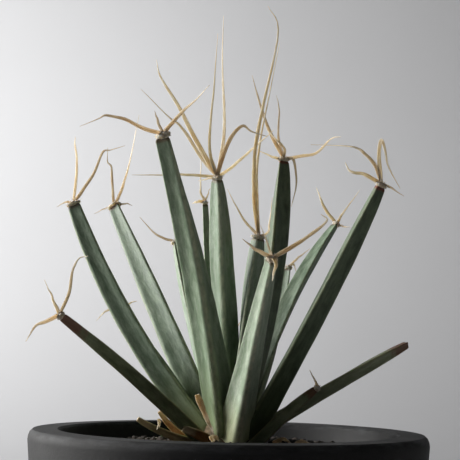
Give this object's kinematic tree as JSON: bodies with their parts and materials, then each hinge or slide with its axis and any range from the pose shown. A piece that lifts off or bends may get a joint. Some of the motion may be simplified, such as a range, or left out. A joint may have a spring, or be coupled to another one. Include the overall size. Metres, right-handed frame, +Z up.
{
  "type": "potted cactus",
  "caption": "Potted prism cactus: a rosette of long three-sided blue-green tubercles tipped with papery straw spines, in a round thick-rimmed dark pot.",
  "frame": {"origin": "under the middle of the pot's foot, on the surface it stands on", "axes": "+Z is up the pot and the plant, -Y is the side seen from the front, +X is to the right seen from the front"},
  "size_m": [0.148, 0.1493, 0.2853],
  "materials": {
    "pot": "matte cast charcoal, scuffed lighter along the shoulder",
    "soil": "dark loose gritty soil",
    "stem": "corky",
    "tubercle": "waxy blue-green skin with a pale bloom",
    "old_tubercle": "olive skin drying brown from the tip",
    "dry_stub": "dry and spotted",
    "spines": "papery straw"
  },
  "bodies": {
    "root": {"pot": "pot", "potting_soil": "soil", "stem": "stem", "tubercle_01": "old_tubercle", "tubercle_02": "tubercle", "tubercle_03": "tubercle", "tubercle_04": "tubercle", "tubercle_05": "tubercle", "tubercle_06": "tubercle", "tubercle_07": "tubercle", "tubercle_08": "tubercle", "tubercle_09": "tubercle", "tubercle_10": "tubercle", "tubercle_11": "tubercle", "tubercle_12": "tubercle", "tubercle_13": "old_tubercle", "tubercle_14": "old_tubercle", "tubercle_15": "tubercle", "tubercle_16": "tubercle", "tubercle_17": "old_tubercle", "stub_1": "dry_stub", "stub_2": "dry_stub", "stub_3": "old_tubercle", "spines_01": "spines", "spines_02": "spines", "spines_03": "spines", "spines_04": "spines", "spines_05": "spines", "spines_06": "spines", "spines_07": "spines", "spines_08": "spines", "spines_09": "spines", "spines_10": "spines", "spines_11": "spines", "spines_12": "spines", "spines_14": "spines", "spines_15": "spines", "spines_16": "spines", "spines_17": "spines"}
  },
  "joints": []
}
